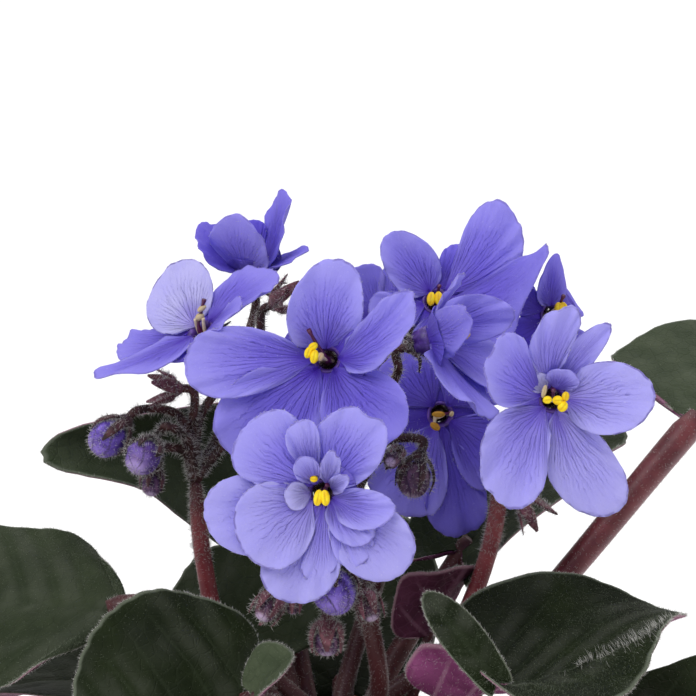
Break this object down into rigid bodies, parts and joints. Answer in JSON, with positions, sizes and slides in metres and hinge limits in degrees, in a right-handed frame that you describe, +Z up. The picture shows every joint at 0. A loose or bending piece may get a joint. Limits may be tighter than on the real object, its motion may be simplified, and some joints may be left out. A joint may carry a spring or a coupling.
{
  "type": "potted african violet",
  "caption": "Potted African violet in bloom: a rosette of rounded hairy leaves, branching flower stalks with blue-violet flowers and buds, in a plain clay pot.",
  "frame": {"origin": "centre of the pot's flat base", "axes": "+Z up along the pot's axis; the plant's flowering side faces -Y, and +X is to the right when it is seen from there"},
  "size_m": [0.212, 0.1587, 0.2076],
  "materials": {
    "pot": "matte",
    "soil": "matte",
    "crown": "matte",
    "leaf": "satin",
    "stalk": "satin",
    "petal": "matte",
    "stamen": "matte",
    "bud": "matte"
  },
  "bodies": {
    "root": {"pot": "pot", "soil": "soil", "crown": "crown", "bloom_a_corolla": "petal", "bloom_a_stamens": "stamen", "bloom_b_corolla": "petal", "bloom_b_stamens": "stamen", "bloom_c_corolla": "petal", "bloom_c_stamens": "stamen", "bloom_d_corolla": "petal", "bloom_d_stamens": "stamen", "bloom_e_corolla": "petal", "bloom_e_stamens": "stamen", "bloom_f_corolla": "petal", "bloom_f_stamens": "stamen", "bloom_g_corolla": "petal", "bloom_g_stamens": "stamen", "bloom_h_corolla": "petal", "bloom_h_stamens": "stamen", "bloom_i_corolla": "petal", "bloom_i_stamens": "stamen", "bloom_j_corolla": "petal", "bloom_j_stamens": "stamen", "bud_left_open": "bud", "bud_left_round": "bud", "bud_left_small": "bud", "bud_low_left": "bud", "bud_low_pink": "bud", "bud_low_right": "bud", "bud_low_tiny": "bud", "bud_low_violet": "bud", "bud_middle": "bud", "bud_middle_small": "bud", "leaf_back": "leaf", "leaf_back_left": "leaf", "leaf_back_low": "leaf", "leaf_behind_left": "leaf", "leaf_behind_right": "leaf", "leaf_cupped": "leaf", "leaf_front_left": "leaf", "leaf_front_low": "leaf", "leaf_inner": "leaf", "leaf_left": "leaf", "leaf_left_front_low": "leaf", "leaf_left_low": "leaf", "leaf_right": "leaf", "leaf_right_back_low": "leaf", "leaf_right_low": "leaf", "leaf_young": "leaf", "stalk_back": "stalk", "stalk_front": "stalk", "stalk_left": "stalk", "stalk_right": "stalk"}
  },
  "joints": []
}
